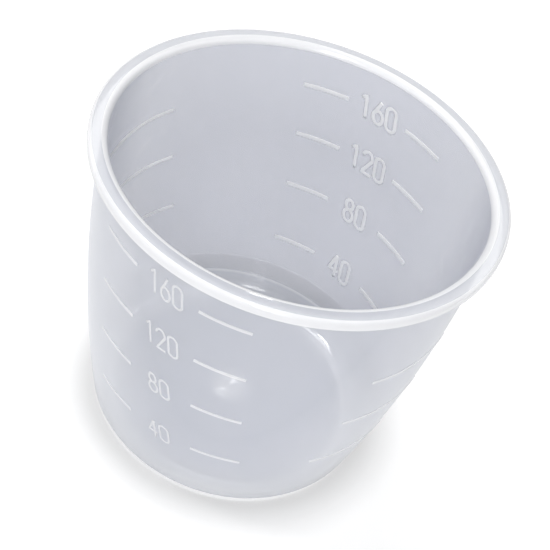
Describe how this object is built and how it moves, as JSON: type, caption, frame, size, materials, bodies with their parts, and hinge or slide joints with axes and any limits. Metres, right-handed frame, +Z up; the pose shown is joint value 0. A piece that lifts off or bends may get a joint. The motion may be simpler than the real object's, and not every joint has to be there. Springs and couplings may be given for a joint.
{
  "type": "measuring cup",
  "caption": "Tapered translucent measuring cup with a turned-down rim, a rounded foot and raised filling lines on its wall.",
  "frame": {"origin": "middle of the foot ring, on the plane that the cup stands on", "axes": "+Z up along the cup's axis towards the mouth, -Y towards the front scale's side, +X to the right of it"},
  "size_m": [0.074, 0.074, 0.063],
  "materials": {
    "cup_plastic": "translucent natural polypropylene, satin inside and softly glossy outside",
    "line_plastic": "the same plastic, paler where it is raised"
  },
  "bodies": {
    "root": {"back_line_120_left": "line_plastic", "back_line_120_right": "line_plastic", "back_line_160_left": "line_plastic", "back_line_160_right": "line_plastic", "back_line_40_left": "line_plastic", "back_line_40_right": "line_plastic", "back_line_80_left": "line_plastic", "back_line_80_right": "line_plastic", "base": "cup_plastic", "front_line_120_left": "line_plastic", "front_line_120_right": "line_plastic", "front_line_160_left": "line_plastic", "front_line_160_right": "line_plastic", "front_line_40_left": "line_plastic", "front_line_40_right": "line_plastic", "front_line_80_left": "line_plastic", "front_line_80_right": "line_plastic", "left_line_100": "line_plastic", "left_line_140": "line_plastic", "left_line_20": "line_plastic", "left_line_60": "line_plastic", "right_line_120": "line_plastic", "right_line_160": "line_plastic", "right_line_40": "line_plastic", "right_line_80": "line_plastic", "rim": "cup_plastic", "side_wall": "cup_plastic"}
  },
  "joints": []
}
